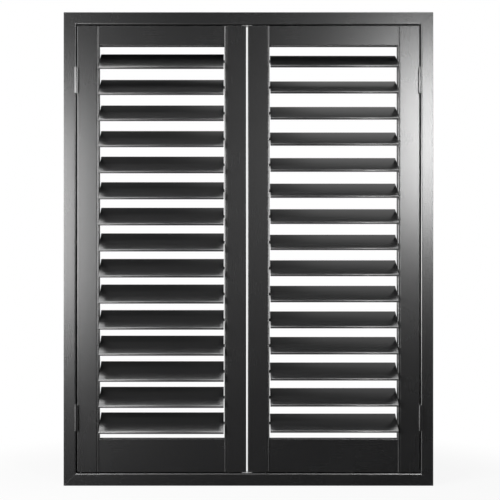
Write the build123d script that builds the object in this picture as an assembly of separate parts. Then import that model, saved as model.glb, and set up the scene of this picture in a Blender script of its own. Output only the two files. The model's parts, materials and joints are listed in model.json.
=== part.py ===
"""A pair of hinged, louvred shutter panels in a mitred frame, with a hidden tilt linkage."""

from build123d import *
import math
import os

# X runs to the right, Y away from the room and Z up, in millimetres.
# The origin is on the frame's underside, in the middle and in the plane of the louvre pivots.

# Louvres
louvre_count = 15
louvre_pitch = 76.0
louvre_width = 89.0
louvre_thickness = 11.5
louvre_nose_thickness = 7.2
louvre_nose_land = 3.0
louvre_nose_depth = 2.1
louvre_hinge_clearance = 1.0
louvre_meeting_clearance = 2.0
louvre_tip_clearance = 0.8
left_tilt = 36.0
right_tilt = 29.4

# Panels
left_panel_width = 495.5
right_panel_width = 504.0
stile_width = 64.0
stile_thickness = 28.0
stile_edge_radius = 2.0
bead_radius = 2.7
quirk_width = 1.8
rail_thickness = 24.0
top_rail_height = 57.0
bottom_rail_height = 97.0
rail_edge_radius = 2.0
rail_edge_lean = 1.0
tenon_length = 30.0
tenon_thickness = 9.0
tenon_shoulder = 12.0
tenon_clearance = 0.2

# Frame
frame_face = 37.0
frame_depth = 36.0
frame_inner_radius = 5.0
frame_outer_radius = 1.2
panel_gap = 3.0
meeting_gap = 4.5
key_reach = 9.0
key_half_width = 6.0
key_waist_share = 0.45
key_depth = 14.0
key_clearance = 0.1
fixing_hole_radius = 2.75
fixing_inset = 110.0
stop_lap = 4.5
stop_clearance = 0.5

# Hinges
hinge_height = 76.0
hinge_inset = 160.0
leaf_thickness = 1.3
leaf_depth = 22.0
knuckle_radius = 5.5
knuckle_standoff = 0.4
knuckle_gap = 0.4
pin_radius = 2.4
pin_clearance = 0.08

# Louvre pivots and the tilt linkage, which sits in a groove of the meeting stile
pin_sides = 6
pivot_radius = 3.6
pivot_length = 9.0
pivot_clearance = 0.1
pivot_end_play = 0.6
groove_width = 19.0
groove_depth = 22.0
groove_end_margin = 6.0
strip_thickness = 6.0
strip_clearance = 0.1
spindle_side = 6.4
spindle_clearance = 0.15
crank_radius = 6.0
crank_thickness = 3.5
crank_half_width = 4.0
crank_tip_radius = 8.8
crank_tip_half_angle = 11.0
crank_run_clearance = 0.6
stud_radius = 1.8
stud_clearance = 0.2
bar_width = 6.2
bar_thickness = 3.0
bar_end = 9.0
slot_corner_radius = 2.6

# Magnetic catches behind the meeting stiles
catch_length = 40.0
catch_height = 13.0
catch_bevel = 1.5
catch_inset = 12.0
catch_gap = 0.3
catch_side_clearance = 0.5
strike_thickness = 1.2
strike_height = 9.0
strike_length = 34.0
strike_bevel = 2.0

# Every cut runs past the face that it opens by this much
overrun = 2.0

# Sizes that follow from those above
pivot_span = (louvre_count - 1) * louvre_pitch
opening_height = pivot_span + louvre_width + 2 * louvre_tip_clearance
panel_height = bottom_rail_height + opening_height + top_rail_height
frame_inner_width = left_panel_width + right_panel_width + meeting_gap + 2 * panel_gap
frame_inner_height = panel_height + 2 * panel_gap
frame_width = frame_inner_width + 2 * frame_face
frame_height = frame_inner_height + 2 * frame_face
front = -stile_thickness / 2
rear = stile_thickness / 2
frame_back = front + frame_depth
panel_bottom = frame_face + panel_gap
panel_top = panel_bottom + panel_height
opening_bottom = panel_bottom + bottom_rail_height
opening_top = opening_bottom + opening_height
first_pivot = opening_bottom + louvre_tip_clearance + louvre_width / 2
hinge_centres = (panel_bottom + hinge_inset, panel_top - hinge_inset)
hinge_axis_x = -panel_gap / 2
hinge_axis_y = front - knuckle_standoff - knuckle_radius
bar_inset = strip_thickness + crank_thickness + 2 * crank_run_clearance


def upright(section, bottom, top):
    """A section in the XY plane, raised from one height to another."""
    return Pos(0, 0, bottom) * extrude(section, top - bottom)


def block(low, high):
    """A box between two corners."""
    size = [b - a for a, b in zip(low, high)]
    return Pos(*low) * Box(*size, align=(Align.MIN, Align.MIN, Align.MIN))


def along_x(section, start, end):
    """A section drawn with Y across and Z up, carried along X."""
    return Pos(start, 0, 0) * extrude(Plane.YZ * section, end - start)


# Frame


def bow_tie(grow):
    """The outline of a corner key, or of its slot when it is grown by a clearance."""
    reach = key_reach + grow
    half = key_half_width + grow
    waist = key_half_width * key_waist_share + grow
    return Polygon(
        (-reach, -half), (0, -waist), (reach, -half), (reach, half), (0, waist), (-reach, half),
        align=None,
    )


def corner_keys(grow, past):
    """Four keys let into the back of the mitres, or their slots, grown and run past the back face."""
    keys = []
    for x_side in (-1, 1):
        for z_side in (-1, 1):
            x = x_side * (frame_width - frame_face) / 2
            z = frame_height / 2 + z_side * (frame_height - frame_face) / 2
            # The mitre runs from the outer to the inner corner, and the key lies square across it.
            turn = 45 * x_side * z_side
            outline = Rot(0, 0, turn) * bow_tie(grow)
            depth = key_depth + grow
            seat = Plane((x, frame_back - depth, z), x_dir=(1, 0, 0), z_dir=(0, 1, 0))
            keys.append(extrude(seat * outline, depth + past))
    return keys


def frame_member(length):
    """A mitred length of frame, lying along X with its outer edge at Z = 0."""
    half = length / 2
    outline = Polygon(
        (-half, 0), (half, 0), (half - frame_face, frame_face), (-half + frame_face, frame_face),
        align=None,
    )
    bar = extrude(Plane.XZ * outline, -frame_depth)
    bar = Pos(0, front, 0) * bar
    front_edges = bar.edges().filter_by(Axis.X).group_by(Axis.Y)[0].sort_by(Axis.Z)
    bar = fillet(front_edges[-1], frame_inner_radius)
    front_edges = bar.edges().filter_by(Axis.X).group_by(Axis.Y)[0].sort_by(Axis.Z)
    return fillet(front_edges[0], frame_outer_radius)


def fixing_heights():
    """The heights of the two screw holes in a jamb."""
    return [fixing_inset, frame_height - fixing_inset]


def jamb_holes(x):
    """Cylinders along X through a jamb centred at x, one at each fixing height."""
    middle = front + frame_depth / 2
    length = frame_face + 2 * overrun
    hole = Rot(0, 90, 0) * Cylinder(fixing_hole_radius, length)
    return [Pos(x, middle, z) * hole for z in fixing_heights()]


def frame_parts():
    """The four mitred members and the keys that hold their corners."""
    slots = corner_keys(key_clearance, overrun)
    across = frame_member(frame_width)
    up = frame_member(frame_height)
    lift = Pos(0, 0, frame_height / 2)
    side = frame_width / 2
    jamb_centre = (frame_width - frame_face) / 2
    left = lift * Pos(-side, 0, 0) * Rot(0, 90, 0) * up
    right = lift * Pos(side, 0, 0) * Rot(0, -90, 0) * up
    return {
        "frame_sill": across - slots,
        "frame_head": Pos(0, 0, frame_height) * Rot(0, 180, 0) * across - slots,
        "frame_left_jamb": left - slots - jamb_holes(-jamb_centre),
        "frame_right_jamb": right - slots - jamb_holes(jamb_centre),
        "corner_keys": Compound(corner_keys(0, 0)),
        "frame_stops": frame_stops(),
    }


def frame_stops():
    """Strips behind the panels that close the gap to the frame, open at the middle for the catches."""
    near = rear + stop_clearance
    reach = panel_gap + stop_lap
    side = frame_inner_width / 2
    left_end, right_end = catch_span()
    low = frame_face
    high = frame_height - frame_face
    strips = []
    for start, end in ((-side, -side + reach), (side - reach, side)):
        strips.append(block((start, near, low), (end, frame_back, high)))
    for start, end in ((-side + reach, left_end), (right_end, side - reach)):
        for bottom in (low, high - reach):
            strips.append(block((start, near, bottom), (end, frame_back, bottom + reach)))
    return Compound(strips)


def catch_span():
    """Where the stops end at the left and the right of the catches."""
    edge = frame_inner_width / 2 - panel_gap
    inset = catch_inset + catch_length + catch_side_clearance
    return left_panel_width - edge - inset, edge - right_panel_width + inset


# Louvres


def louvre_section():
    """Two shallow crowns between blunt noses, each nose eased by a bevel above and below."""
    half = louvre_width / 2
    rise = louvre_thickness / 2
    across = half - louvre_nose_depth
    height = louvre_nose_thickness / 2
    land = louvre_nose_land / 2
    edges = [
        ThreePointArc((-across, height), (0, rise), (across, height)),
        Polyline((across, height), (half, land), (half, -land), (across, -height)),
        ThreePointArc((across, -height), (0, -rise), (-across, -height)),
        Polyline((-across, -height), (-half, -land), (-half, land), (-across, height)),
    ]
    return make_face(edges)


def crank_section():
    """A plate that tapers to the stud, with a tip that is an arc about the pivot."""
    turn = math.radians(crank_tip_half_angle)
    tip = crank_tip_radius * math.cos(turn)
    half = crank_tip_radius * math.sin(turn)
    back = crank_half_width
    edges = [
        Polyline((tip, -half), (-back, -back), (-back, back), (tip, half)),
        ThreePointArc((tip, half), (crank_tip_radius, 0), (tip, -half)),
    ]
    return make_face(edges)


def louvre(width, index, tilt):
    """One louvre with its pivot point, square spindle and crank, tilted with its front edge down."""
    near = stile_width + louvre_hinge_clearance
    far = width - stile_width - louvre_meeting_clearance
    blade = along_x(louvre_section(), near, far)
    pivot = along_x(RegularPolygon(pivot_radius, pin_sides), stile_width - pivot_length, near)
    crank_start = width - stile_width + strip_thickness + crank_run_clearance
    crank_end = crank_start + crank_thickness
    spindle = along_x(Rectangle(spindle_side, spindle_side), far, crank_start)
    crank = along_x(crank_section(), crank_start, crank_end)
    stud_end = crank_end + 2 * crank_run_clearance + bar_thickness
    stud = along_x(Pos(crank_radius, 0) * RegularPolygon(stud_radius, pin_sides), crank_end, stud_end)
    height = first_pivot + index * louvre_pitch
    return Pos(0, 0, height) * Rot(tilt, 0, 0) * (blade + pivot + spindle + crank + stud)


def link_bar(width, tilt):
    """The bar that joins a panel's cranks: a slot for each stud, the middle one with turned corners."""
    start = width - stile_width + bar_inset
    turn = math.radians(tilt)
    y = crank_radius * math.cos(turn)
    lift = crank_radius * math.sin(turn)
    bottom = first_pivot + lift - bar_end
    top = bottom + pivot_span + 2 * bar_end
    half = bar_width / 2
    bar = block((start, y - half, bottom), (start + bar_thickness, y + half, top))
    slot = 2 * (stud_radius + stud_clearance)
    window = Box(bar_thickness + 2 * overrun, slot, slot)
    middle = start + bar_thickness / 2
    turned_window = window & Rot(0, 90, 0) * Cylinder(slot_corner_radius, bar_thickness + 2 * overrun)
    leader = louvre_count // 2
    cuts = [turned_window if i == leader else window for i in range(louvre_count)]
    return bar - [Pos(middle, y, z + lift) * cut for cut, z in zip(cuts, pivot_heights())]


# Panels, drawn with the hinge edge at X = 0 and the meeting edge at X = width


def stile_section():
    """A stile's section: rounded outer edges, and a quirk and bead along each inner edge."""
    section = Pos(stile_width / 2, 0) * Rectangle(stile_width, stile_thickness)
    outer = section.vertices().group_by(Axis.X)[0]
    section = fillet(outer, stile_edge_radius)
    inner = section.vertices().group_by(Axis.X)[-1]
    section = fillet(inner, bead_radius)
    bead_x = stile_width - bead_radius
    quirk_start = bead_x - bead_radius - quirk_width
    for side in (-1, 1):
        face = side * stile_thickness / 2
        bead = Pos(bead_x, face - side * bead_radius) * Circle(bead_radius)
        span = bead_x - quirk_start
        depth = bead_radius + overrun
        cut = Pos(quirk_start + span / 2, face - side * (bead_radius - depth / 2)) * Rectangle(span, depth)
        section -= cut - bead
    return section


def mortises(edge_x, direction):
    """The sockets for both rails' tenons, cut into a stile's inner edge at edge_x."""
    cuts = []
    for low, high in rail_spans():
        tenon = tenon_box(edge_x, direction, low, high, tenon_clearance)
        cuts.append(tenon)
    return cuts


def rail_spans():
    """The lower and upper edge of the bottom rail and of the top rail."""
    return ((panel_bottom, opening_bottom), (opening_top, panel_top))


def tenon_box(edge_x, direction, low, high, grow):
    """A rail's tenon at a stile's inner edge, or its mortise when it is grown by a clearance."""
    tip = edge_x + direction * (tenon_length + grow)
    start, end = sorted((edge_x, tip))
    half = tenon_thickness / 2 + grow
    return block((start, -half, low + tenon_shoulder - grow), (end, half, high - tenon_shoulder + grow))


def pivot_socket():
    """The socket that a louvre's pivot pin turns in, cut from the hinge stile's inner edge."""
    bottom = stile_width - pivot_length - pivot_end_play
    return along_x(bearing(pivot_radius + pivot_clearance), bottom, stile_width + overrun)


def bearing(radius):
    """A many-sided hole whose flats stand at a radius, so that any pin inside it turns freely."""
    return RegularPolygon(radius, pin_sides, major_radius=False)


def pivot_heights():
    """The heights of the louvre pivots, from the lowest up."""
    return [first_pivot + i * louvre_pitch for i in range(louvre_count)]


def hinge_stile():
    """The stile that carries the hinges, with a socket for each louvre's pivot point."""
    stile = upright(stile_section(), panel_bottom, panel_top)
    socket = pivot_socket()
    return stile - mortises(stile_width, -1) - [Pos(0, 0, z) * socket for z in pivot_heights()]


def groove_span():
    """The lower and upper end of the groove that holds the tilt linkage."""
    return opening_bottom + groove_end_margin, opening_top - groove_end_margin


def meeting_stile(width):
    """The stile at the middle of the pair, grooved along its inner edge for the tilt linkage."""
    stile = upright(mirror(stile_section(), Plane.YZ), panel_bottom, panel_top)
    stile = Pos(width, 0, 0) * stile
    edge = width - stile_width
    low, high = groove_span()
    half = groove_width / 2
    groove = block((edge - overrun, -half, low), (edge + groove_depth, half, high))
    return stile - mortises(edge, 1) - groove


def bearing_strip(width):
    """The strip that closes the groove and carries the louvre spindles."""
    edge = width - stile_width
    low, high = groove_span()
    half = groove_width / 2 - strip_clearance
    inner = edge + strip_thickness
    strip = block((edge, -half, low + strip_clearance), (inner, half, high - strip_clearance))
    bore_radius = spindle_side / math.sqrt(2) + spindle_clearance
    bore = along_x(bearing(bore_radius), edge - overrun, inner + overrun)
    return strip - [Pos(0, 0, z) * bore for z in pivot_heights()]


def rail(width, low, high, opening_edge):
    """A rail with stub tenons, whose rounded edge at the louvres leans into their opening at the rear."""
    start = stile_width
    end = width - stile_width
    half = rail_thickness / 2
    lean = math.copysign(rail_edge_lean, opening_edge - (low + high) / 2)
    rear_low, rear_high = [z + lean if z == opening_edge else z for z in (low, high)]
    section = Polygon((-half, low), (half, rear_low), (half, rear_high), (-half, high), align=None)
    body = along_x(section, start, end)
    long_edges = body.edges().filter_by(Axis.X)
    edges = [e for e in long_edges if abs(e.center().Z - opening_edge) < rail_edge_radius]
    body = fillet(edges, rail_edge_radius)
    return body + tenon_box(start, -1, low, high, 0) + tenon_box(end, 1, low, high, 0)


def strike_plates(width):
    """Thin steel plates on the back of the meeting stile, at its top and bottom."""
    middle = width - catch_inset - catch_length / 2
    face = Rectangle(strike_length, strike_height)
    face = chamfer(face.vertices(), strike_bevel)
    drop = (catch_height + strike_height - panel_gap) / 2
    heights = (panel_bottom + drop, panel_top - drop)
    seats = [Plane((middle, rear, z), x_dir=(1, 0, 0), z_dir=(0, 1, 0)) for z in heights]
    return Compound([extrude(seat * face, strike_thickness) for seat in seats])


def catch_blocks(width):
    """The magnet blocks on the frame, just behind a panel's strike plates."""
    start = width - catch_inset - catch_length
    near = rear + strike_thickness + catch_gap
    blocks = []
    for low in (panel_bottom - panel_gap, panel_top + panel_gap - catch_height):
        body = block((start, near, low), (start + catch_length, frame_back, low + catch_height))
        blocks.append(chamfer(body.edges().filter_by(Axis.Y), catch_bevel))
    return blocks


# Hinges, in the same panel coordinates


def leaf(centre, plate_side, knuckle):
    """One hinge leaf: a plate in the gap beside the stile, rolled into a knuckle at the front."""
    bottom = centre - hinge_height / 2
    low_x, high_x = sorted((plate_side * panel_gap / 2, plate_side * (panel_gap / 2 - leaf_thickness)))
    plate = block(
        (hinge_axis_x + low_x, front, bottom),
        (hinge_axis_x + high_x, front + leaf_depth, bottom + hinge_height),
    )
    axis = Pos(hinge_axis_x, hinge_axis_y)
    low, high = knuckle
    neck = block(
        (hinge_axis_x + low_x, hinge_axis_y, bottom + low),
        (hinge_axis_x + high_x, front + overrun, bottom + high),
    )
    plate += neck + upright(axis * Circle(knuckle_radius), bottom + low, bottom + high)
    bore = axis * Circle(pin_radius + pin_clearance)
    return plate - upright(bore, bottom - overrun, bottom + hinge_height + overrun)


def knuckle_spans():
    """The lower knuckle, which is the frame leaf's, and the upper one, which lifts off with the panel."""
    middle = hinge_height / 2
    half_gap = knuckle_gap / 2
    return (0, middle - half_gap), (middle + half_gap, hinge_height)


def frame_leaves():
    """The leaves screwed to the jamb, one for each hinge."""
    lower, _ = knuckle_spans()
    return Compound([leaf(z, -1, lower) for z in hinge_centres])


def panel_leaves():
    """The leaves screwed to the stile, one for each hinge."""
    _, upper = knuckle_spans()
    return Compound([leaf(z, 1, upper) for z in hinge_centres])


def hinge_pins():
    """The hinge pins, each as long as its barrel."""
    pin = Pos(hinge_axis_x, hinge_axis_y) * Circle(pin_radius)
    half = hinge_height / 2
    return Compound([upright(pin, z - half, z + half) for z in hinge_centres])


def panel_parts(width, tilt):
    """Every piece of one panel, of its louvres and of its hinges."""
    bottom_span, top_span = rail_spans()
    parts = {
        "hinge_stile": hinge_stile(),
        "meeting_stile": meeting_stile(width),
        "top_rail": rail(width, *top_span, opening_top),
        "bottom_rail": rail(width, *bottom_span, opening_bottom),
        "bearing_strip": bearing_strip(width),
        "link_bar": link_bar(width, tilt),
        "strike_plates": strike_plates(width),
        "frame_leaves": frame_leaves(),
        "panel_leaves": panel_leaves(),
        "hinge_pins": hinge_pins(),
    }
    for index in range(louvre_count):
        parts[f"louvre_{index + 1:02d}"] = louvre(width, index, tilt)
    return parts


def place(shape, side):
    """Moves a piece drawn in panel coordinates to the left or right half of the frame."""
    edge = frame_inner_width / 2 - panel_gap
    if side == "left":
        return Pos(-edge, 0, 0) * shape
    return Pos(edge, 0, 0) * mirror(shape, Plane.YZ)


pieces = frame_parts()
catches = []
for side, width, tilt in (("left", left_panel_width, left_tilt), ("right", right_panel_width, right_tilt)):
    for name, shape in panel_parts(width, tilt).items():
        pieces[f"{side}_{name}"] = place(shape, side)
    catches += [place(shape, side) for shape in catch_blocks(width)]
pieces["catch_magnets"] = Compound(catches)

os.makedirs("parts", exist_ok=True)
for name, shape in pieces.items():
    export_step(shape, f"parts/{name}.step")
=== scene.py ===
# %% [markdown]
# # Louvred shutters in black lacquer
# Two hinged panels of tilting louvres stand in a mitred timber frame. The solids come from the packed
# model and stay where they are. This lesson gives them their finish: blades with smooth crowns and round
# noses, arrises that catch the light, screws in the hinges, a satin lacquer and a small studio.

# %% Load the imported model
import json
import bmesh
import bpy
import numpy as np
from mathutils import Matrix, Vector


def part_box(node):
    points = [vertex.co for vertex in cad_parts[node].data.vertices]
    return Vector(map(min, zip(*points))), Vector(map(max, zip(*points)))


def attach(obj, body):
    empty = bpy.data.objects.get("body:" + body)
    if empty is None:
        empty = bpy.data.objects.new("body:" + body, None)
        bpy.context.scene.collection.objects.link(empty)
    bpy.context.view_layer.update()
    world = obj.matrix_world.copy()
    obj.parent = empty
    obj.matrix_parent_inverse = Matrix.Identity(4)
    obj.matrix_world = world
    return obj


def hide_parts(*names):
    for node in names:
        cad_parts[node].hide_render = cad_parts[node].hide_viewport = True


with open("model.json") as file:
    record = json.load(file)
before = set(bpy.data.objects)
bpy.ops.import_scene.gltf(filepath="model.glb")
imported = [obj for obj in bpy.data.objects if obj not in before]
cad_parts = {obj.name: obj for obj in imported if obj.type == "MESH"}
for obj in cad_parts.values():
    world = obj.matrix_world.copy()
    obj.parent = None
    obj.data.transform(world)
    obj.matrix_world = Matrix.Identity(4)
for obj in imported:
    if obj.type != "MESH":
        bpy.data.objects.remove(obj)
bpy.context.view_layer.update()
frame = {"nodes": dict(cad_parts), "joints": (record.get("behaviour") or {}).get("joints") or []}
joints = {joint["name"]: joint for joint in frame["joints"]}
MM = 0.001
SIDES = ("left", "right")

# %% [markdown]
# ## Shader values that add up like numbers
# A finish is a short formula: a base roughness plus a little haze, a relief made of two patterns.
# Blender wants a Math node for each plus sign. A small class can wrap a socket and let Python's own
# operators add those nodes, so that the formula stays readable. Every other node comes from one method.

# %% A value on a shader desk


class Value:
    """An output socket. Sums, differences, products and maxima of values add their own Math nodes."""

    def __init__(self, desk, socket):
        self.desk = desk
        self.socket = socket

    def math(self, operation, first, second):
        return self.desk.node("ShaderNodeMath", {"operation": operation}, {0: first, 1: second})

    def __add__(self, other):
        return self.math("ADD", self, other)

    def __radd__(self, other):
        return self.math("ADD", other, self)

    def __sub__(self, other):
        return self.math("SUBTRACT", self, other)

    def __rsub__(self, other):
        return self.math("SUBTRACT", other, self)

    def __mul__(self, other):
        return self.math("MULTIPLY", self, other)

    def __rmul__(self, other):
        return self.math("MULTIPLY", other, self)

    def most(self, other):
        return self.math("MAXIMUM", self, other)


class Desk:
    """A node tree, emptied, with one method that adds any node to it."""

    def __init__(self, tree):
        self.tree = tree
        tree.nodes.clear()

    def node(self, kind, settings=None, inputs=None, output=0):
        """Adds a node: its settings first, then a value or a link for each named socket."""
        made = self.tree.nodes.new(kind)
        for name, setting in (settings or {}).items():
            setattr(made, name, setting)
        for name, given in (inputs or {}).items():
            if isinstance(given, Value):
                self.tree.links.new(given.socket, made.inputs[name])
            else:
                made.inputs[name].default_value = given
        return Value(self, made.outputs[output]) if made.outputs else None

    def noise(self, place, scale, detail):
        """A grey noise around a half, with a scale in waves for each metre of its vector."""
        sockets = {"Vector": place, "Scale": scale, "Detail": detail}
        return self.node("ShaderNodeTexNoise", {}, sockets, "Fac")

    def stretched(self, place, scale):
        """Coordinates scaled apart along X, Y and Z."""
        return self.node("ShaderNodeMapping", {}, {"Vector": place, "Scale": scale})

    def mixed(self, share, first, second):
        """A colour between two others."""
        sockets = {0: share, 6: (*first, 1.0), 7: (*second, 1.0)}
        return self.node("ShaderNodeMix", {"data_type": "RGBA"}, sockets, 2)

    def step(self, value, start, full):
        """A smooth rise from 0 where the value is at start to 1 where it is full."""
        sockets = {"Value": value, "From Min": start, "From Max": full}
        return self.node("ShaderNodeMapRange", {"interpolation_type": "SMOOTHSTEP"}, sockets)

    def relief(self, height, depth, strength):
        """A normal bent by a height pattern that is depth metres deep."""
        sockets = {"Height": height, "Distance": depth, "Strength": strength}
        return self.node("ShaderNodeBump", {}, sockets, "Normal")


def finish_of(name, recipe, **settings):
    """A material whose Principled shader takes what the recipe returns and the plain settings."""
    material = bpy.data.materials.new(name)
    material.use_nodes = True
    desk = Desk(material.node_tree)
    place = desk.node("ShaderNodeTexCoord", {}, {}, "Object")
    sockets = {key.replace("_", " ").title(): value for key, value in settings.items() if key != "ior"}
    if "ior" in settings:
        sockets["IOR"] = settings["ior"]
    sockets.update(recipe(desk, place))
    shader = desk.node("ShaderNodeBsdfPrincipled", {}, sockets)
    desk.node("ShaderNodeOutputMaterial", {}, {"Surface": shader})
    return material


print("shader desk ready")

# %% [markdown]
# ## Satin lacquer on timber
# The shutters are sprayed black. The colour is nearly even, so the eye reads the finish by its gloss: a
# broad, soft reflection that drifts a little where the spray was wetter. Close up there is the faint pebble
# of sprayed lacquer and, under it, a trace of the wood's lines along each member. A coat layer over the
# paint gives the depth of the gloss. On the blades that coat is glossier than the satin base under it, so
# that their noses carry a line of light. The fibres run along X in rails and blades, and along Z in stiles
# and jambs.

# %% Lacquer for members along X and along Z
LACQUER_DARK = (0.0032, 0.0032, 0.0034)
LACQUER_LIGHT = (0.0052, 0.0052, 0.0055)
TIMBER_ROUGHNESS = 0.27
BLADE_ROUGHNESS = 0.34
BLADE_COAT_ROUGHNESS = 0.2
FIBRES_ALONG = 6.0
FIBRES_ACROSS = 900.0
PEBBLE_SCALE = 520.0
HAZE_SCALE = 6.0
LACQUER_RELIEF = 0.03 * MM
RELIEF_STRENGTH = 0.04
FIBRE_RELIEF = 0.55
PEBBLE_RELIEF = 0.45
HAZE_ROUGHNESS = 0.04
FIBRE_ROUGHNESS = 0.01
NOISE_MIDDLE = 0.5


def lacquer(along, roughness, coat_roughness):
    """The recipe for lacquered timber whose fibres run along one axis: X is 0 and Z is 2."""
    scale = [FIBRES_ACROSS] * 3
    scale[along] = FIBRES_ALONG

    def recipe(desk, place):
        fibres = desk.noise(desk.stretched(place, scale), 1.0, 3.0)
        pebble = desk.noise(place, PEBBLE_SCALE, 1.0)
        haze = desk.noise(place, HAZE_SCALE, 2.0)
        drift = HAZE_ROUGHNESS * (haze - NOISE_MIDDLE)
        lines = FIBRE_ROUGHNESS * (fibres - NOISE_MIDDLE)
        height = FIBRE_RELIEF * fibres + PEBBLE_RELIEF * pebble
        return {
            "Base Color": desk.mixed(haze, LACQUER_DARK, LACQUER_LIGHT),
            "Roughness": roughness + drift + lines,
            "Coat Roughness": coat_roughness,
            "Normal": desk.relief(height, LACQUER_RELIEF, RELIEF_STRENGTH),
        }

    return recipe


coat = {"coat_weight": 1.0, "ior": 1.5}
lacquer_x = finish_of("satin_lacquer_along_x", lacquer(0, TIMBER_ROUGHNESS, TIMBER_ROUGHNESS), **coat)
lacquer_z = finish_of("satin_lacquer_along_z", lacquer(2, TIMBER_ROUGHNESS, TIMBER_ROUGHNESS), **coat)
blade_recipe = lacquer(0, BLADE_ROUGHNESS, BLADE_COAT_ROUGHNESS)
blade_lacquer = finish_of("satin_lacquer_on_blades", blade_recipe, **coat)
print("lacquers:", lacquer_x.name, lacquer_z.name, blade_lacquer.name)

# %% [markdown]
# ## Hinges, catches and the hidden linkage
# The hinges are painted with the panels, but the coat lies thinner and smoother on steel. Pins and screws
# are blackened steel, the strike plates are zinc plated with a crystalline bloom, the link bars are drawn
# aluminium with streaks along their length, and catches and keys are moulded with a fine spark texture.

# %% Metal and plastic finishes
ENAMEL_PEBBLE_SCALE = 900.0
ENAMEL_ROUGHNESS = 0.16
ENAMEL_DRIFT = 0.06
ENAMEL_RELIEF_STRENGTH = 0.25
ENAMEL_IOR = 1.8
SPARK_SCALE = 1400.0
SPARK_DEPTH = 0.05 * MM
SPARK_RELIEF_STRENGTH = 0.4
PLASTIC_DARK = (0.012, 0.012, 0.013)
PLASTIC_LIGHT = (0.022, 0.022, 0.023)
PLASTIC_ROUGHNESS = 0.42
PLASTIC_DRIFT = 0.12


def enamel(desk, place):
    """Paint on steel: even black with a fine pebble."""
    pebble = desk.noise(place, ENAMEL_PEBBLE_SCALE, 1.0)
    return {
        "Base Color": desk.mixed(pebble, LACQUER_DARK, LACQUER_LIGHT),
        "Roughness": ENAMEL_ROUGHNESS + ENAMEL_DRIFT * (pebble - NOISE_MIDDLE),
        "Normal": desk.relief(pebble, LACQUER_RELIEF, ENAMEL_RELIEF_STRENGTH),
    }


def bare_metal(scale, detail, dark, light, roughness, drift):
    """The recipe for bare metal: one noise, scaled apart along the axes, sets tint and roughness."""

    def recipe(desk, place):
        marks = desk.noise(desk.stretched(place, scale), 1.0, detail)
        return {
            "Base Color": desk.mixed(marks, dark, light),
            "Roughness": roughness + drift * marks,
        }

    return recipe


def moulded(desk, place):
    """Black plastic from a spark-eroded mould."""
    grain = desk.noise(place, SPARK_SCALE, 2.0)
    return {
        "Base Color": desk.mixed(grain, PLASTIC_DARK, PLASTIC_LIGHT),
        "Roughness": PLASTIC_ROUGHNESS + PLASTIC_DRIFT * grain,
        "Normal": desk.relief(grain, SPARK_DEPTH, SPARK_RELIEF_STRENGTH),
    }


# Turned steel has fine rings around Z, zinc has patches, and the drawn bar has streaks along Z.
black_steel = bare_metal(
    scale=(40.0, 40.0, 4000.0), detail=2.0,
    dark=(0.02, 0.02, 0.022), light=(0.07, 0.07, 0.075), roughness=0.3, drift=0.15,
)
zinc = bare_metal(
    scale=(260.0, 260.0, 260.0), detail=4.0,
    dark=(0.36, 0.37, 0.39), light=(0.58, 0.58, 0.57), roughness=0.28, drift=0.25,
)
aluminium = bare_metal(
    scale=(2500.0, 2500.0, 12.0), detail=3.0,
    dark=(0.55, 0.56, 0.58), light=(0.78, 0.78, 0.79), roughness=0.25, drift=0.2,
)
enamel_coat = {"coat_roughness": ENAMEL_ROUGHNESS, "coat_weight": 1.0, "ior": ENAMEL_IOR}
hinge_enamel = finish_of("hinge_enamel", enamel, **enamel_coat)
pin_steel = finish_of("blackened_steel", black_steel, metallic=1.0)
strike_zinc = finish_of("zinc_plate", zinc, metallic=1.0)
bar_metal = finish_of("drawn_aluminium", aluminium, metallic=1.0)
black_plastic = finish_of("moulded_black", moulded)
print("metal and plastic finishes:", len(bpy.data.materials))

# %% [markdown]
# ## Arrises that catch the light
# On the real timber no edge is knife sharp: each arris is eased, and the mitres show as hairlines because
# both edges are rounded. A solid's mesh is loose triangles, so a copy is merged first, its flat faces are
# joined again, and a narrow bevel eases what is still sharp. The copy stands for the node at the same place.

# %% Ease the arrises of the timber and of the hinges
TIMBER_ARRIS = 0.45 * MM
STEEL_ARRIS = 0.25 * MM
SHARP_ANGLE = np.radians(28.0)
FLAT_ANGLE = np.radians(0.5)
MERGE_STEP = 0.001 * MM
FLAT_WEIGHT = 90


def merged_copy(node, name):
    """A mesh of the node with equal corners joined, and flat neighbouring triangles made one face."""
    source = frame["nodes"][node].data
    source.calc_loop_triangles()
    points = np.empty(len(source.vertices) * 3)
    source.vertices.foreach_get("co", points)
    corners = np.empty(len(source.loop_triangles) * 3, dtype=np.int32)
    source.loop_triangles.foreach_get("vertices", corners)
    steps = np.round(points.reshape(-1, 3) / MERGE_STEP).astype(np.int64)
    _, first, merged = np.unique(steps, axis=0, return_index=True, return_inverse=True)
    mesh = bpy.data.meshes.new(name)
    kept = points.reshape(-1, 3)[first]
    mesh.from_pydata(kept.tolist(), [], merged[corners].reshape(-1, 3).tolist())
    work = bmesh.new()
    work.from_mesh(mesh)
    bmesh.ops.dissolve_limit(work, angle_limit=FLAT_ANGLE, verts=work.verts, edges=work.edges)
    work.to_mesh(mesh)
    work.free()
    return mesh


def shown(name, mesh, body, material):
    """Puts a finished mesh into the scene on its body, with its finish."""
    piece = bpy.data.objects.new(name, mesh)
    bpy.context.scene.collection.objects.link(piece)
    mesh.materials.append(material)
    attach(piece, body)
    return piece


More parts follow.
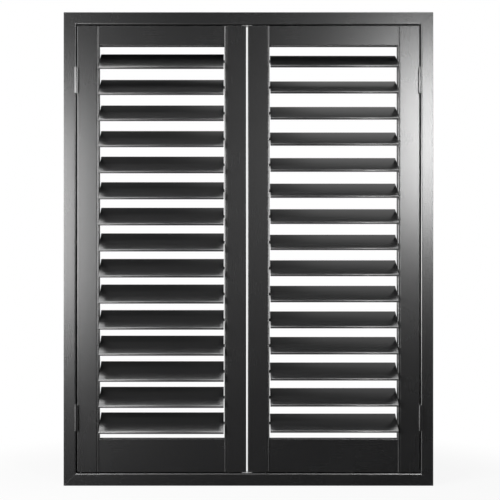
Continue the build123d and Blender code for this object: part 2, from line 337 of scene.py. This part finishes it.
def eased(node, body, material, width):
    """A copy of a node with eased arrises, which stands for it."""
    mesh = merged_copy(node, f"{node}_eased")
    mesh.shade_smooth()
    mesh.set_sharp_from_angle(angle=SHARP_ANGLE)
    piece = shown(mesh.name, mesh, body, material)
    bevel = piece.modifiers.new("arris", "BEVEL")
    bevel.width = width
    bevel.segments = 2
    bevel.limit_method = "ANGLE"
    bevel.angle_limit = SHARP_ANGLE
    even = piece.modifiers.new("even_faces", "WEIGHTED_NORMAL")
    even.weight = FLAT_WEIGHT
    even.keep_sharp = True
    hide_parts(node)


frame_finish = {
    "head": lacquer_x, "sill": lacquer_x,
    "left_jamb": lacquer_z, "right_jamb": lacquer_z, "stops": lacquer_z,
}
for node, finish in frame_finish.items():
    eased(f"frame_{node}", "frame", finish, TIMBER_ARRIS)
for side in SIDES:
    panel = f"{side}_panel"
    for name, finish in (("hinge_stile", lacquer_z), ("meeting_stile", lacquer_z),
                         ("top_rail", lacquer_x), ("bottom_rail", lacquer_x)):
        eased(f"{side}_{name}", panel, finish, TIMBER_ARRIS)
    eased(f"{side}_frame_leaves", "frame", hinge_enamel, STEEL_ARRIS)
    eased(f"{side}_panel_leaves", panel, hinge_enamel, STEEL_ARRIS)
    eased(f"{side}_hinge_pins", "frame", pin_steel, STEEL_ARRIS)

# %% [markdown]
# ## The louvres
# A louvre is planed to a shallow lens: a crown above, a crown below and a round nose at each edge, all
# tangent, so that a reflection slides over it without a break. A box with a bevel would show flat bands.
# The outline is therefore four arcs worked out from the width, the thickness and the nose radius, carried
# along X. Towards each end the outline draws in by a quarter circle, which eases the end's arris. The pin,
# the square spindle with its crank and the crank's stud belong to the same moulded insert and go along.

# %% The blade's outline
BLADE_WIDTH = 89.0 * MM
BLADE_THICKNESS = 11.5 * MM
NOSE_RADIUS = 3.6 * MM
END_EASE = 0.8 * MM
HINGE_GAP = 1.0 * MM
MEETING_GAP = 2.0 * MM
CROWN_POINTS = 25
NOSE_POINTS = 13

blade_half = BLADE_WIDTH / 2
blade_rise = BLADE_THICKNESS / 2
nose_centre = blade_half - NOSE_RADIUS
crown_radius = (nose_centre**2 + blade_rise**2 - NOSE_RADIUS**2) / (2 * (blade_rise - NOSE_RADIUS))
crown_drop = crown_radius - blade_rise
crown_lean = np.arctan2(nose_centre, crown_drop)


def blade_outline(inset):
    """The lens drawn in by inset: an upper crown, the rear nose, a lower crown and the front nose.
    A crown's point is (R sin t, R cos t - drop). A nose's point is its centre plus (r cos s, r sin s)."""
    turn = np.linspace(-crown_lean, crown_lean, CROWN_POINTS)
    crown = np.stack([np.sin(turn), np.cos(turn)], axis=1) * (crown_radius - inset) - (0, crown_drop)
    swing = np.linspace(np.pi / 2 - crown_lean, crown_lean - np.pi / 2, NOSE_POINTS)[1:-1]
    nose = np.stack([np.cos(swing), np.sin(swing)], axis=1) * (NOSE_RADIUS - inset) + (nose_centre, 0)
    return np.concatenate([crown, nose, -crown, -nose])


def end_eased(start, end, ease, points=5):
    """Stations along X and how far each one draws in.
    Over a quarter turn a, x leaves the end as r - r cos a and the inset goes as r - r sin a."""
    turn = np.linspace(0, np.pi / 2, points)
    along = ease * (1 - np.cos(turn))
    drawn = ease * (1 - np.sin(turn))
    return np.concatenate([start + along, end - along[::-1]]), np.concatenate([drawn, drawn[::-1]])


print("crown radius in mm:", round(crown_radius / MM, 1), "outline points:", len(blade_outline(0.0)))

# %% Shells from outlines carried along X


def shell(stations, outlines):
    """Corners and faces of outlines, each a row of (y, z), set at stations along X.
    A face closes each end."""
    rows, count = len(stations), outlines.shape[1]
    along = np.repeat(np.asarray(stations), count)[:, None]
    points = np.concatenate([along, outlines.reshape(-1, 2)], axis=1)
    row, column = np.meshgrid(np.arange(rows - 1), np.arange(count), indexing="ij")
    following = (column + 1) % count
    sides = np.stack([row * count + column, row * count + following,
                      (row + 1) * count + following, (row + 1) * count + column], axis=-1)
    first = np.arange(count)[::-1]
    last = np.arange(count) + (rows - 1) * count
    return points, sides.reshape(-1, 4).tolist() + [first.tolist(), last.tolist()]


def rounded_box(low_y, high_y, low_z, high_z, radius, points=5):
    """A rectangle with round corners: each corner's centre plus (r cos a, -r sin a) over a quarter turn."""
    quarter = np.linspace(0, np.pi / 2, points)
    centres = np.array([(high_y - radius, low_z + radius), (low_y + radius, low_z + radius),
                        (low_y + radius, high_z - radius), (high_y - radius, high_z - radius)])
    turn = quarter[None, :] + np.arange(4)[:, None] * np.pi / 2
    arcs = np.stack([np.cos(turn), -np.sin(turn)], axis=-1) * radius
    return (centres[:, None, :] + arcs).reshape(-1, 2)


def disc(radius, centre_y=0.0, points=24):
    """A circle in the YZ plane, taken the same way round as the other outlines."""
    turn = np.linspace(0, 2 * np.pi, points, endpoint=False)
    return np.stack([centre_y + radius * np.cos(turn), -radius * np.sin(turn)], axis=1)


def joined(shells):
    """Several shells as one list of corners and one list of faces."""
    points, faces, count = [], [], 0
    for corners, polygons in shells:
        points.append(corners)
        faces += [[index + count for index in polygon] for polygon in polygons]
        count += len(corners)
    return np.concatenate(points), faces


print("shell helpers ready")

# %% All louvres of both panels
PIVOT_RADIUS = 3.6 * MM
PIVOT_LENGTH = 9.0 * MM
PIN_EASE = 0.4 * MM
SPINDLE_HALF = 3.2 * MM
SPINDLE_CORNER = 0.5 * MM
STRIP_THICKNESS = 6.0 * MM
CRANK_GAP = 0.6 * MM
CRANK_THICKNESS = 3.5 * MM
CRANK_HALF = 4.0 * MM
CRANK_TIP = 8.8 * MM
CRANK_TIP_ANGLE = np.radians(11.0)
STUD_PLACE = 6.0 * MM
STUD_RADIUS = 1.8 * MM
STUD_LENGTH = 4.2 * MM
LOUVRES = 15


def crank_plate(points=7):
    """A plate that tapers from two back corners to an arc about the pivot, (r cos a, -r sin a)."""
    turn = np.linspace(-CRANK_TIP_ANGLE, CRANK_TIP_ANGLE, points)
    tip = np.stack([np.cos(turn), -np.sin(turn)], axis=1) * CRANK_TIP
    return np.concatenate([tip, np.array([(-1, -1), (-1, 1)]) * CRANK_HALF])


def louvre_shells(hinge_edge, meeting_edge):
    """Blade, pivot pin, spindle, crank and stud between two stile edges.
    They lie level, with the pivot at Y = Z = 0."""
    out = np.sign(meeting_edge - hinge_edge)
    blade_start = hinge_edge + out * HINGE_GAP
    blade_end = meeting_edge - out * MEETING_GAP
    stations, drawn = end_eased(blade_start, blade_end, out * END_EASE)
    blade = shell(stations, np.stack([blade_outline(abs(d)) for d in drawn]))
    pin_x, pin_drawn = end_eased(hinge_edge - out * PIVOT_LENGTH, stations[0], out * PIN_EASE)
    pin = shell(pin_x, np.stack([disc(PIVOT_RADIUS - abs(d)) for d in pin_drawn]))
    crank_start = meeting_edge + out * (STRIP_THICKNESS + CRANK_GAP)
    crank_end = crank_start + out * CRANK_THICKNESS
    bar = rounded_box(-SPINDLE_HALF, SPINDLE_HALF, -SPINDLE_HALF, SPINDLE_HALF, SPINDLE_CORNER)
    spindle = shell([stations[-1], crank_start], np.stack([bar, bar]))
    crank = shell([crank_start, crank_end], np.stack([crank_plate(), crank_plate()]))
    stud_x, stud_drawn = end_eased(crank_end, crank_end + out * STUD_LENGTH, out * PIN_EASE)
    stud = shell(stud_x, np.stack([disc(STUD_RADIUS - abs(d), STUD_PLACE) for d in stud_drawn]))
    return joined([blade, pin, spindle, crank, stud])


def tilted(points, tilt, pivot):
    """Points turned about X and moved to the pivot: y goes to y cos - z sin and z to y sin + z cos."""
    x, y, z = points.T
    cosine, sine = np.cos(tilt), np.sin(tilt)
    return np.stack([x, y * cosine - z * sine + pivot[1], y * sine + z * cosine + pivot[2]], axis=1)


def solid_mesh(name, points, faces):
    """A mesh with smooth sides, sharp only where faces meet at a clear angle, and faces turned outwards."""
    mesh = bpy.data.meshes.new(name)
    mesh.from_pydata(points.tolist(), [], faces)
    work = bmesh.new()
    work.from_mesh(mesh)
    bmesh.ops.recalc_face_normals(work, faces=work.faces)
    work.to_mesh(mesh)
    work.free()
    mesh.shade_smooth()
    mesh.set_sharp_from_angle(angle=SHARP_ANGLE)
    return mesh


for side in SIDES:
    hinge_box, meeting_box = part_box(f"{side}_hinge_stile"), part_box(f"{side}_meeting_stile")
    if side == "left":
        hinge_edge, meeting_edge = hinge_box[1].x, meeting_box[0].x
    else:
        hinge_edge, meeting_edge = hinge_box[0].x, meeting_box[1].x
    points, faces = louvre_shells(hinge_edge, meeting_edge)
    for number in range(1, LOUVRES + 1):
        node = f"{side}_louvre_{number:02d}"
        joint = joints[f"{node}_tilt"]
        # The joint's limits lie evenly about level, so their middle gives the tilt at rest.
        tilt = -np.radians(np.mean(joint["range_deg"]))
        mesh = solid_mesh(f"{node}_blade", tilted(points, tilt, joint["pos_m"]), faces)
        blade = shown(mesh.name, mesh, node, blade_lacquer)
        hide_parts(node)
    tilt_degrees = round(float(np.degrees(tilt)), 1)
    print(side, "louvres:", LOUVRES, "tilt in degrees:", tilt_degrees, "faces each:", len(faces))

# %% [markdown]
# ## Screws
# When a panel swings open, the hinge leaves show, each held by three countersunk screws, and so do the
# screws of the strike plates. A head is a shallow dome with a cross recess. It is one surface over radius
# and angle: the dome's height, less the recess where either arm of the cross runs.

# %% Screw heads on hinge leaves and strike plates
SCREW_RADIUS = 3.3 * MM
SCREW_PROUD = 0.16 * MM
RECESS_LENGTH = 1.9 * MM
RECESS_WIDTH = 0.42 * MM
RECESS_DEPTH = 0.13 * MM
RECESS_EDGE = 0.18 * MM
LEAF_THICKNESS = 1.3 * MM
HINGE_HEIGHT = 76.0 * MM
LEAF_DEPTH = 22.0 * MM
SCREW_SPREAD = 25.0 * MM
STRIKE_SCREW_INSET = 5.0 * MM
STRIKE_HEIGHT = 9.0 * MM
HUB_SHARE = 0.02


def screw_head(rings=16, spokes=64):
    """A dome over angle and the share q of the radius: its height is P (1 - q^4), less the recess.
    An arm of the cross is a product of two ramps, one along it and one across it. A small face closes
    the middle, and a flat base closes the rim."""
    spoke_turns = np.linspace(0, 2 * np.pi, spokes, endpoint=False)
    share, turn = np.meshgrid(np.linspace(HUB_SHARE, 1, rings), spoke_turns, indexing="ij")
    u, v = SCREW_RADIUS * share * np.cos(turn), SCREW_RADIUS * share * np.sin(turn)
    arms = []
    for along, across in ((u, v), (v, u)):
        along_ramp = np.clip((RECESS_LENGTH - abs(along)) / RECESS_EDGE, 0, 1)
        arms.append(along_ramp * np.clip((RECESS_WIDTH - abs(across)) / RECESS_EDGE, 0, 1))
    height = SCREW_PROUD * (1 - share**4) - RECESS_DEPTH * np.maximum(*arms)
    top = np.stack([u, v, height], axis=-1).reshape(-1, 3)
    row, column = np.meshgrid(np.arange(rings - 1), np.arange(spokes), indexing="ij")
    following = (column + 1) % spokes
    sides = np.stack([row * spokes + column, (row + 1) * spokes + column,
                      (row + 1) * spokes + following, row * spokes + following], axis=-1)
    hub = np.arange(spokes)
    base = (hub + (rings - 1) * spokes)[::-1]
    return top, sides.reshape(-1, 4).tolist() + [hub.tolist(), base.tolist()]


def screws(name, body, places, facing, across):
    """One piece of several heads, whose own axes are across, up and facing."""
    head, faces = screw_head()
    up = np.cross(facing, across)
    turned = head @ np.array([across, up, facing], dtype=float)
    points, polygons = joined([(turned + place, faces) for place in places])
    shown(name, solid_mesh(name, points, polygons), body, pin_steel)


for side in SIDES:
    out = 1.0 if side == "left" else -1.0
    jamb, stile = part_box(f"frame_{side}_jamb"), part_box(f"{side}_hinge_stile")
    jamb_face = jamb[1].x if side == "left" else jamb[0].x
    stile_face = stile[0].x if side == "left" else stile[1].x
    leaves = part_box(f"{side}_frame_leaves")
    middle_y = leaves[1].y - LEAF_DEPTH / 2
    centres = (leaves[0].z + HINGE_HEIGHT / 2, leaves[1].z - HINGE_HEIGHT / 2)
    heights = [z + step * SCREW_SPREAD for z in centres for step in (-1, 0, 1)]
    frame_face, panel_face = jamb_face + out * LEAF_THICKNESS, stile_face - out * LEAF_THICKNESS
    screws(f"{side}_frame_leaf_screws", "frame", [(frame_face, middle_y, z) for z in heights],
           (out, 0, 0), (0, out, 0))
    screws(f"{side}_panel_leaf_screws", f"{side}_panel", [(panel_face, middle_y, z) for z in heights],
           (-out, 0, 0), (0, -out, 0))
    low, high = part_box(f"{side}_strike_plates")
    strike_places = [(x, high.y, z) for x in (low.x + STRIKE_SCREW_INSET, high.x - STRIKE_SCREW_INSET)
                     for z in (low.z + STRIKE_HEIGHT / 2, high.z - STRIKE_HEIGHT / 2)]
    screws(f"{side}_strike_screws", f"{side}_panel", strike_places, (0, 1, 0), (-1, 0, 0))

# %% Finishes of the nodes that stay as they are
node_finish = {"corner_keys": black_plastic, "catch_magnets": black_plastic}
for side in SIDES:
    node_finish[f"{side}_bearing_strip"] = lacquer_z
    node_finish[f"{side}_link_bar"] = bar_metal
    node_finish[f"{side}_strike_plates"] = strike_zinc
for node, finish in node_finish.items():
    slots = frame["nodes"][node].data.materials
    slots.clear()
    slots.append(finish)
print("nodes with a finish:", len(node_finish))

# %% [markdown]
# ## The studio
# Black lacquer shows little but what it mirrors, so the light is built for its reflections. A wide softbox
# stands at the left and a tall narrow one at the right, each where the outer stile mirrors it towards the
# camera. Patches at the sides, overhead and on the floor are met by reflections only, and draw the lines of
# light on noses and beads. Behind the shutters the room is white, which the camera sees through the gaps.
# Black cards, as a photographer's flags, are met by reflections only too: one behind the top rails darkens
# the top louvres, and narrow rings behind the panels keep that white off the inner edges of stiles and
# rails. The camera's side of the room stays dim, and a pale floor keeps a faint shadow.

# %% Softboxes
SOFTBOX_AIM = Vector((0.0, 0.0, 0.7))
LEFT_SOFTBOX = {"place": (-1.505, -1.874, 0.884), "width": 1.378, "height": 1.061, "radiance": 16.8}
RIGHT_SOFTBOX = {"place": (0.994, -2.662, 1.328), "width": 0.158, "height": 0.833, "radiance": 60.5}


def softbox(name, place, width, height, radiance):
    """A rectangular lamp at a place, turned to the middle of the shutters."""
    lamp = bpy.data.lights.new(name, "AREA")
    lamp.shape = "RECTANGLE"
    lamp.size = width
    lamp.size_y = height
    lamp.energy = radiance * width * height * np.pi
    holder = bpy.data.objects.new(name, lamp)
    holder.location = place
    holder.rotation_euler = (SOFTBOX_AIM - Vector(place)).to_track_quat("-Z", "Y").to_euler()
    holder.visible_camera = False
    bpy.context.scene.collection.objects.link(holder)


softbox("left_softbox", **LEFT_SOFTBOX)
softbox("right_softbox", **RIGHT_SOFTBOX)
print("softboxes:", [lamp.name for lamp in bpy.data.lights])

# %% The room and the floor
ROOM_FRONT = 0.025
ROOM_FILL = 0.15
LEFT_WALL = 6.0
RIGHT_WALL = 3.0
CEILING = 9.0
FLOOR_MIDDLE = 0.05
FLOOR_SIDES = 0.6
REAR_HIGH_LEFT = 0.07
REAR_HIGH_RIGHT = 0.28
# Each pair below is a part of a direction, x, y or z, where a patch starts to rise and where it is full.
LEFT_OF_MIDDLE = (-0.05, -0.15)
RIGHT_OF_MIDDLE = (0.05, 0.15)
REARWARDS = (0.0, 0.3)
BACKDROP_TOP = (0.6, 0.35)
HIGH_REAR_RIGHT = (-0.03, 0.05)
HIGH_REAR_TOP = (0.94, 0.82)
LEFT_WALL_SIDE = (-0.6, -0.85)
LEFT_WALL_FOOT = (-0.2, 0.1)
RIGHT_WALL_SIDE = (0.6, 0.85)
RIGHT_WALL_FOOT = (-0.03, 0.12)
WALLS_REAR = (0.5, 0.2)
CEILING_LEFT_END = (-0.45, -0.25)
CEILING_LEFT_REAR = (0.1, -0.16)
CEILING_RIGHT_END = (0.45, 0.25)
CEILING_RIGHT_REAR = (0.12, -0.14)
CEILING_FOOT = (0.7, 0.88)
FLOOR_TOP = (-0.35, -0.6)
FLOOR_GLOW_SHARE = 0.9
FLOOR_RADIUS = 1.3
FLOOR_POINTS = 96
FLOOR_RIM_START = 0.5 * FLOOR_RADIUS
FLOOR_RIM_FULL = 0.95 * FLOOR_RADIUS
FLOOR_COLOUR = (0.9, 0.9, 0.9, 1.0)
WHITE = (1.0, 1.0, 1.0, 1.0)
BLACK = (0.0, 0.0, 0.0, 1.0)
TOP_FLAG = [(-0.48, 0.015, 1.3), (0.48, 0.015, 1.3), (0.48, 0.105, 1.318), (-0.48, 0.105, 1.318)]
EDGE_FLAG_WIDTH = 6.0 * MM
EDGE_FLAG_GAP = 0.3 * MM


def ray_kind(desk, kind):
    """1 for rays of one kind, such as Camera, Glossy or Transmission, and 0 for all others."""
    return desk.node("ShaderNodeLightPath", {}, {}, f"Is {kind} Ray")


def mirrored_room(desk):
    """What a reflection meets in each direction (x, y, z).
    It is a sum of smooth patches, each a product of steps along x, y and z."""
    direction = desk.node("ShaderNodeTexCoord", {}, {}, "Generated")
    x, y, z = [desk.node("ShaderNodeSeparateXYZ", {}, {"Vector": direction}, axis) for axis in "XYZ"]
    left = desk.step(x, *LEFT_OF_MIDDLE)
    right = desk.step(x, *RIGHT_OF_MIDDLE)
    backdrop = desk.step(z, *BACKDROP_TOP)
    high_rear = REAR_HIGH_LEFT + REAR_HIGH_RIGHT * desk.step(x, *HIGH_REAR_RIGHT)
    rear = desk.step(y, *REARWARDS) * backdrop.most(high_rear * desk.step(z, *HIGH_REAR_TOP))
    left_wall = LEFT_WALL * desk.step(x, *LEFT_WALL_SIDE) * desk.step(z, *LEFT_WALL_FOOT)
    right_wall = RIGHT_WALL * desk.step(x, *RIGHT_WALL_SIDE) * desk.step(z, *RIGHT_WALL_FOOT)
    walls = (left_wall + right_wall) * desk.step(y, *WALLS_REAR)
    above_left = left * desk.step(x, *CEILING_LEFT_END) * desk.step(y, *CEILING_LEFT_REAR)
    above_right = right * desk.step(x, *CEILING_RIGHT_END) * desk.step(y, *CEILING_RIGHT_REAR)
    ceiling = CEILING * (above_left + above_right) * desk.step(z, *CEILING_FOOT)
    floor = (FLOOR_MIDDLE + FLOOR_SIDES * (left + right)) * desk.step(z, *FLOOR_TOP)
    return ROOM_FRONT + rear + walls + ceiling + floor


def build_room():
    """A world that is white to the camera all round. A reflection meets white behind, dim grey in front
    and bright patches at the sides and overhead. Diffuse light meets an even fill."""
    world = bpy.data.worlds.new("studio")
    world.use_nodes = True
    world.cycles.sampling_method = "NONE"
    desk = Desk(world.node_tree)
    gloss = ray_kind(desk, "Glossy").most(ray_kind(desk, "Transmission"))
    light = gloss * mirrored_room(desk) + (1 - gloss) * ROOM_FILL
    seen = ray_kind(desk, "Camera").most(light)
    shader = desk.node("ShaderNodeBackground", {}, {"Color": WHITE, "Strength": seen})
    desk.node("ShaderNodeOutputWorld", {}, {"Surface": shader})
    bpy.context.scene.world = world


def build_floor():
    """A pale disc at the frame's underside, mostly its own white to the camera and wholly so at its rim."""
    material = bpy.data.materials.new("pale_floor")
    material.use_nodes = True
    desk = Desk(material.node_tree)
    place = desk.node("ShaderNodeTexCoord", {}, {}, "Object")
    radius = desk.node("ShaderNodeVectorMath", {"operation": "LENGTH"}, {0: place}, "Value")
    rim = desk.step(radius, FLOOR_RIM_START, FLOOR_RIM_FULL)
    share = ray_kind(desk, "Camera") * (FLOOR_GLOW_SHARE + (1 - FLOOR_GLOW_SHARE) * rim)
    plain = desk.node("ShaderNodeBsdfDiffuse", {}, {"Color": FLOOR_COLOUR})
    glow = desk.node("ShaderNodeEmission", {}, {"Color": WHITE, "Strength": 1.0})
    mixed = desk.node("ShaderNodeMixShader", {}, {0: share, 1: plain, 2: glow})
    desk.node("ShaderNodeOutputMaterial", {}, {"Surface": mixed})
    mesh = bpy.data.meshes.new("floor")
    turn = np.linspace(0, 2 * np.pi, FLOOR_POINTS, endpoint=False)
    rim_points = np.stack([np.cos(turn), np.sin(turn), 0 * turn], axis=1) * FLOOR_RADIUS
    mesh.from_pydata(rim_points.tolist(), [], [list(range(FLOOR_POINTS))])
    mesh.materials.append(material)
    floor = bpy.data.objects.new("floor", mesh)
    bpy.context.scene.collection.objects.link(floor)
    floor.visible_glossy = False


def edge_strips(side):
    """Corners and faces of a flat ring just behind a panel, around the inside of its opening."""
    hinge_stile, meeting_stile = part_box(f"{side}_hinge_stile"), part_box(f"{side}_meeting_stile")
    first, second = (hinge_stile, meeting_stile) if side == "left" else (meeting_stile, hinge_stile)
    low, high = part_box(f"{side}_bottom_rail")[1].z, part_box(f"{side}_top_rail")[0].z
    behind = hinge_stile[1].y + EDGE_FLAG_GAP
    corners = []
    for inset in (0.0, EDGE_FLAG_WIDTH):
        across = (first[1].x + inset, second[0].x - inset)
        for column, height in ((0, low + inset), (1, low + inset), (1, high - inset), (0, high - inset)):
            corners.append((across[column], behind, height))
    return corners, [(i, (i + 1) % 4, 4 + (i + 1) % 4, 4 + i) for i in range(4)]


def build_flag(name, corners, faces):
    """Black card, as a photographer's flag. Only reflections meet it."""
    material = bpy.data.materials.new(name)
    material.use_nodes = True
    desk = Desk(material.node_tree)
    black = desk.node("ShaderNodeBsdfDiffuse", {}, {"Color": BLACK})
    desk.node("ShaderNodeOutputMaterial", {}, {"Surface": black})
    mesh = bpy.data.meshes.new(name)
    mesh.from_pydata(corners, [], faces)
    mesh.materials.append(material)
    flag = bpy.data.objects.new(name, mesh)
    bpy.context.scene.collection.objects.link(flag)
    flag.visible_camera = False
    flag.visible_diffuse = False
    flag.visible_shadow = False


build_room()
build_floor()
build_flag("top_flag", TOP_FLAG, [(0, 1, 2, 3)])
for side in SIDES:
    build_flag(f"{side}_edge_flag", *edge_strips(side))
print("room, floor and flags ready")

# %% [markdown]
# ## The camera
# The frame's sides stay parallel in the picture, so the camera looks straight along Y and the picture is
# shifted, as with a view camera. Its distance comes from how much wider the front of a louvre is than its
# rear, and its height from the louvre at which the top and the underside are equally hidden.

# %% Camera and view settings
IMAGE_SIZE = 500
FOCAL_PIXELS = 1150
SENSOR_WIDTH = 36.0
EYE = Vector((-0.03, -3.385, 0.624))
EYE_PIXEL = (238.2, 273.0)

view = bpy.data.cameras.new("camera")
view.sensor_width = SENSOR_WIDTH
view.lens = SENSOR_WIDTH * FOCAL_PIXELS / IMAGE_SIZE
view.shift_x = (IMAGE_SIZE / 2 - EYE_PIXEL[0]) / IMAGE_SIZE
view.shift_y = (EYE_PIXEL[1] - IMAGE_SIZE / 2) / IMAGE_SIZE
camera = bpy.data.objects.new("camera", view)
camera.location = EYE
camera.rotation_euler = (np.pi / 2, 0.0, 0.0)
bpy.context.scene.collection.objects.link(camera)
bpy.context.scene.camera = camera
bpy.context.scene.view_settings.view_transform = "Standard"
print("lens in mm:", round(view.lens, 1), "shift:", round(view.shift_x, 4), round(view.shift_y, 4))
